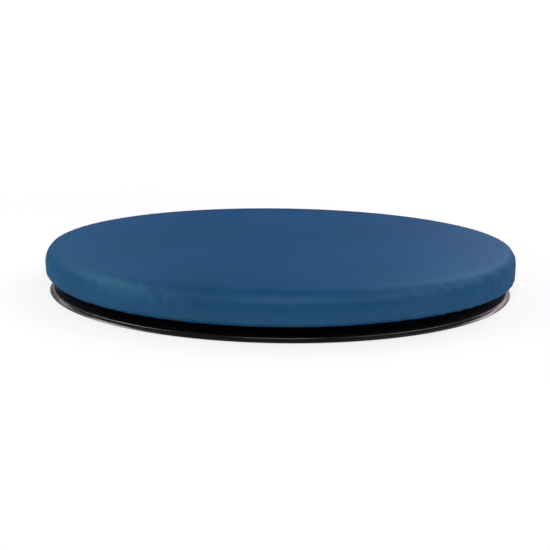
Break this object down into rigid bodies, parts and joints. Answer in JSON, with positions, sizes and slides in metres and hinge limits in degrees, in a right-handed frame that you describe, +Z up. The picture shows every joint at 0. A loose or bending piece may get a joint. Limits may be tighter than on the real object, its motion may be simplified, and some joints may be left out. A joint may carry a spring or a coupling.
{
  "type": "swivel seat cushion",
  "caption": "Round padded seat cushion that turns freely on a ball ring over a thin flat base with rubber feet.",
  "frame": {"origin": "on the swivel axis, in the plane that the rubber feet stand on", "axes": "+Z up along the swivel axis; the base is round, so +X and +Y only fix the feet, one foot lies on +X"},
  "size_m": [0.4, 0.4, 0.0409],
  "materials": {
    "black_gloss_plastic": "moulded, high gloss",
    "black_satin_plastic": "moulded, satin",
    "race_steel": "rolled strip, zinc plated",
    "ball_steel": "polished hardened steel",
    "plated_steel": "zinc plated",
    "black_acetal": "black acetal",
    "foot_rubber": "matte black rubber",
    "blue_cover_fabric": "blue stretch fabric with a short soft pile",
    "support_foam": "firm grey polyurethane foam",
    "comfort_foam": "soft cream polyurethane foam",
    "elastic_cord_white": "braided elastic"
  },
  "bodies": {
    "base": {"base_plate": "black_gloss_plastic", "foot_pad_1": "foot_rubber", "foot_pad_2": "foot_rubber", "foot_pad_3": "foot_rubber", "foot_pad_4": "foot_rubber", "foot_pad_5": "foot_rubber", "foot_pad_6": "foot_rubber", "foot_pad_7": "foot_rubber", "foot_pad_8": "foot_rubber", "lower_race": "race_steel", "pivot_screw": "plated_steel", "pivot_nut": "plated_steel", "pivot_washer": "plated_steel", "hub_cap": "black_satin_plastic"},
    "seat": {"turntable_plate": "black_satin_plastic", "upper_race": "race_steel", "pivot_bush": "black_acetal", "foam_support": "support_foam", "foam_comfort": "comfort_foam", "elastic_cord": "elastic_cord_white", "cover": "blue_cover_fabric"},
    "cage": {"ball_cage": "black_acetal"},
    "ball_01": {"bearing_ball_01": "ball_steel"},
    "ball_02": {"bearing_ball_02": "ball_steel"},
    "ball_03": {"bearing_ball_03": "ball_steel"},
    "ball_04": {"bearing_ball_04": "ball_steel"},
    "ball_05": {"bearing_ball_05": "ball_steel"},
    "ball_06": {"bearing_ball_06": "ball_steel"},
    "ball_07": {"bearing_ball_07": "ball_steel"},
    "ball_08": {"bearing_ball_08": "ball_steel"},
    "ball_09": {"bearing_ball_09": "ball_steel"},
    "ball_10": {"bearing_ball_10": "ball_steel"},
    "ball_11": {"bearing_ball_11": "ball_steel"},
    "ball_12": {"bearing_ball_12": "ball_steel"},
    "ball_13": {"bearing_ball_13": "ball_steel"},
    "ball_14": {"bearing_ball_14": "ball_steel"},
    "ball_15": {"bearing_ball_15": "ball_steel"},
    "ball_16": {"bearing_ball_16": "ball_steel"}
  },
  "joints": [
    {"name": "seat_spin", "type": "hinge", "parent": "base", "child": "seat", "pos_m": [0, 0, 0.0128], "axis": [0, 0, 1], "continuous": true},
    {"name": "cage_spin", "type": "hinge", "parent": "base", "child": "cage", "pos_m": [0, 0, 0.0072], "axis": [0, 0, 1], "continuous": true},
    {"name": "ball_01_roll", "type": "hinge", "parent": "cage", "child": "ball_01", "pos_m": [0.13, 0, 0.0072], "axis": [1, 0, 0], "continuous": true},
    {"name": "ball_02_roll", "type": "hinge", "parent": "cage", "child": "ball_02", "pos_m": [0.1201, 0.04975, 0.0072], "axis": [0.9239, 0.3827, 0], "continuous": true},
    {"name": "ball_03_roll", "type": "hinge", "parent": "cage", "child": "ball_03", "pos_m": [0.09192, 0.09192, 0.0072], "axis": [0.7071, 0.7071, 0], "continuous": true},
    {"name": "ball_04_roll", "type": "hinge", "parent": "cage", "child": "ball_04", "pos_m": [0.04975, 0.1201, 0.0072], "axis": [0.3827, 0.9239, 0], "continuous": true},
    {"name": "ball_05_roll", "type": "hinge", "parent": "cage", "child": "ball_05", "pos_m": [0, 0.13, 0.0072], "axis": [0, 1, 0], "continuous": true},
    {"name": "ball_06_roll", "type": "hinge", "parent": "cage", "child": "ball_06", "pos_m": [-0.04975, 0.1201, 0.0072], "axis": [-0.3827, 0.9239, 0], "continuous": true},
    {"name": "ball_07_roll", "type": "hinge", "parent": "cage", "child": "ball_07", "pos_m": [-0.09192, 0.09192, 0.0072], "axis": [-0.7071, 0.7071, 0], "continuous": true},
    {"name": "ball_08_roll", "type": "hinge", "parent": "cage", "child": "ball_08", "pos_m": [-0.1201, 0.04975, 0.0072], "axis": [-0.9239, 0.3827, 0], "continuous": true},
    {"name": "ball_09_roll", "type": "hinge", "parent": "cage", "child": "ball_09", "pos_m": [-0.13, 0, 0.0072], "axis": [-1, 0, 0], "continuous": true},
    {"name": "ball_10_roll", "type": "hinge", "parent": "cage", "child": "ball_10", "pos_m": [-0.1201, -0.04975, 0.0072], "axis": [-0.9239, -0.3827, 0], "continuous": true},
    {"name": "ball_11_roll", "type": "hinge", "parent": "cage", "child": "ball_11", "pos_m": [-0.09192, -0.09192, 0.0072], "axis": [-0.7071, -0.7071, 0], "continuous": true},
    {"name": "ball_12_roll", "type": "hinge", "parent": "cage", "child": "ball_12", "pos_m": [-0.04975, -0.1201, 0.0072], "axis": [-0.3827, -0.9239, 0], "continuous": true},
    {"name": "ball_13_roll", "type": "hinge", "parent": "cage", "child": "ball_13", "pos_m": [0, -0.13, 0.0072], "axis": [0, -1, 0], "continuous": true},
    {"name": "ball_14_roll", "type": "hinge", "parent": "cage", "child": "ball_14", "pos_m": [0.04975, -0.1201, 0.0072], "axis": [0.3827, -0.9239, 0], "continuous": true},
    {"name": "ball_15_roll", "type": "hinge", "parent": "cage", "child": "ball_15", "pos_m": [0.09192, -0.09192, 0.0072], "axis": [0.7071, -0.7071, 0], "continuous": true},
    {"name": "ball_16_roll", "type": "hinge", "parent": "cage", "child": "ball_16", "pos_m": [0.1201, -0.04975, 0.0072], "axis": [0.9239, -0.3827, 0], "continuous": true}
  ],
  "couplings": [
    {"joint": "cage_spin", "follows": "seat_spin", "ratio": 0.5},
    {"joint": "ball_01_roll", "follows": "seat_spin", "ratio": -21.667},
    {"joint": "ball_02_roll", "follows": "seat_spin", "ratio": -21.667},
    {"joint": "ball_03_roll", "follows": "seat_spin", "ratio": -21.667},
    {"joint": "ball_04_roll", "follows": "seat_spin", "ratio": -21.667},
    {"joint": "ball_05_roll", "follows": "seat_spin", "ratio": -21.667},
    {"joint": "ball_06_roll", "follows": "seat_spin", "ratio": -21.667},
    {"joint": "ball_07_roll", "follows": "seat_spin", "ratio": -21.667},
    {"joint": "ball_08_roll", "follows": "seat_spin", "ratio": -21.667},
    {"joint": "ball_09_roll", "follows": "seat_spin", "ratio": -21.667},
    {"joint": "ball_10_roll", "follows": "seat_spin", "ratio": -21.667},
    {"joint": "ball_11_roll", "follows": "seat_spin", "ratio": -21.667},
    {"joint": "ball_12_roll", "follows": "seat_spin", "ratio": -21.667},
    {"joint": "ball_13_roll", "follows": "seat_spin", "ratio": -21.667},
    {"joint": "ball_14_roll", "follows": "seat_spin", "ratio": -21.667},
    {"joint": "ball_15_roll", "follows": "seat_spin", "ratio": -21.667},
    {"joint": "ball_16_roll", "follows": "seat_spin", "ratio": -21.667}
  ]
}
